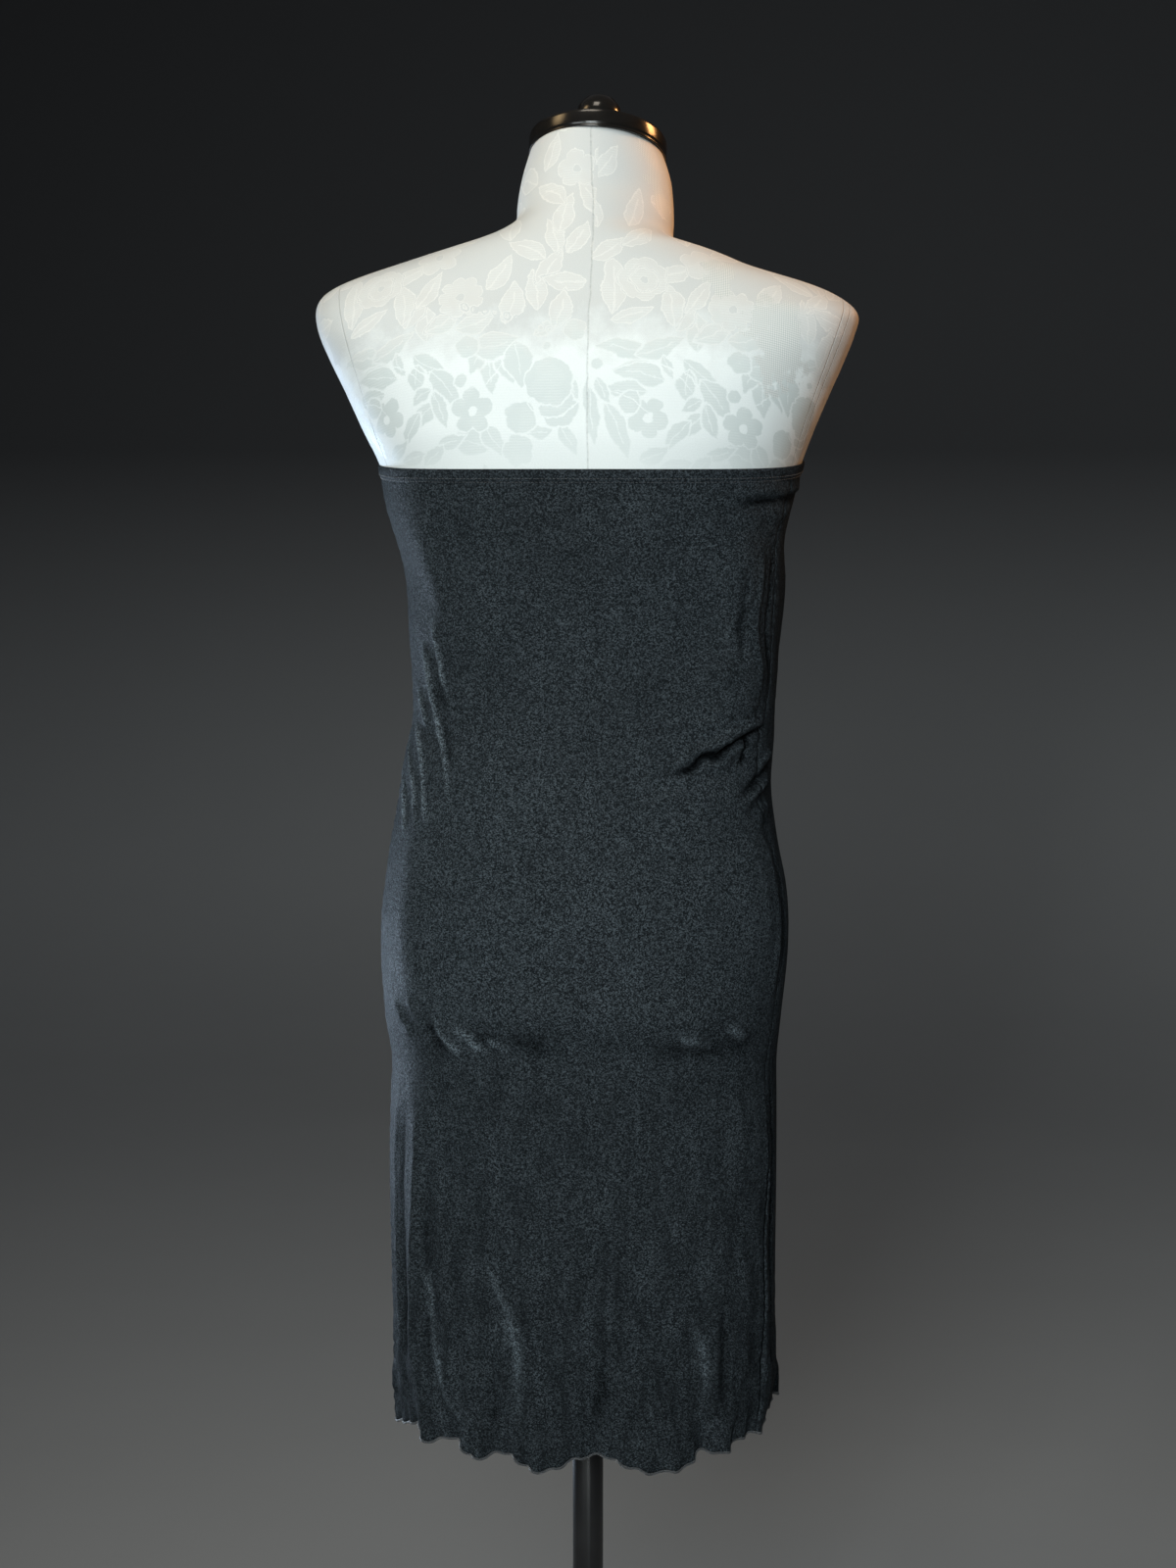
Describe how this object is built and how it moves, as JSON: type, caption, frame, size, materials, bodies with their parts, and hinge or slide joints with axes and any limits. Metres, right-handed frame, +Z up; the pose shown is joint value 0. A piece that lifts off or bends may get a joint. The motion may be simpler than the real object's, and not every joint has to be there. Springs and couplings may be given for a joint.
{
  "type": "strapless dress on a dress form",
  "caption": "Black stretch-knit strapless tube dress with a banded top edge and a wavy lettuce hem, worn by a limbless white jacquard dress form on a round-base stand.",
  "frame": {"origin": "centre of the base's underside, on the floor", "axes": "+Z up; the dress and the form face -Y; the form's own left side is +X"},
  "size_m": [0.4198, 0.35, 1.5403],
  "materials": {
    "black_knit": "soft sheen, fine grain",
    "white_jacquard": "satin figure on a matt ground",
    "gloss_black": "gloss",
    "black_metal": "satin black paint"
  },
  "bodies": {
    "root": {"back_panel": "black_knit", "front_panel": "black_knit", "back_top_band": "black_knit", "front_top_band": "black_knit", "back_hem_roll": "black_knit", "front_hem_roll": "black_knit", "torso": "white_jacquard", "neck_cap": "gloss_black", "cap_knob": "gloss_black", "pole_socket": "black_metal", "pole": "black_metal", "pole_collar": "black_metal", "base": "black_metal"}
  },
  "joints": []
}
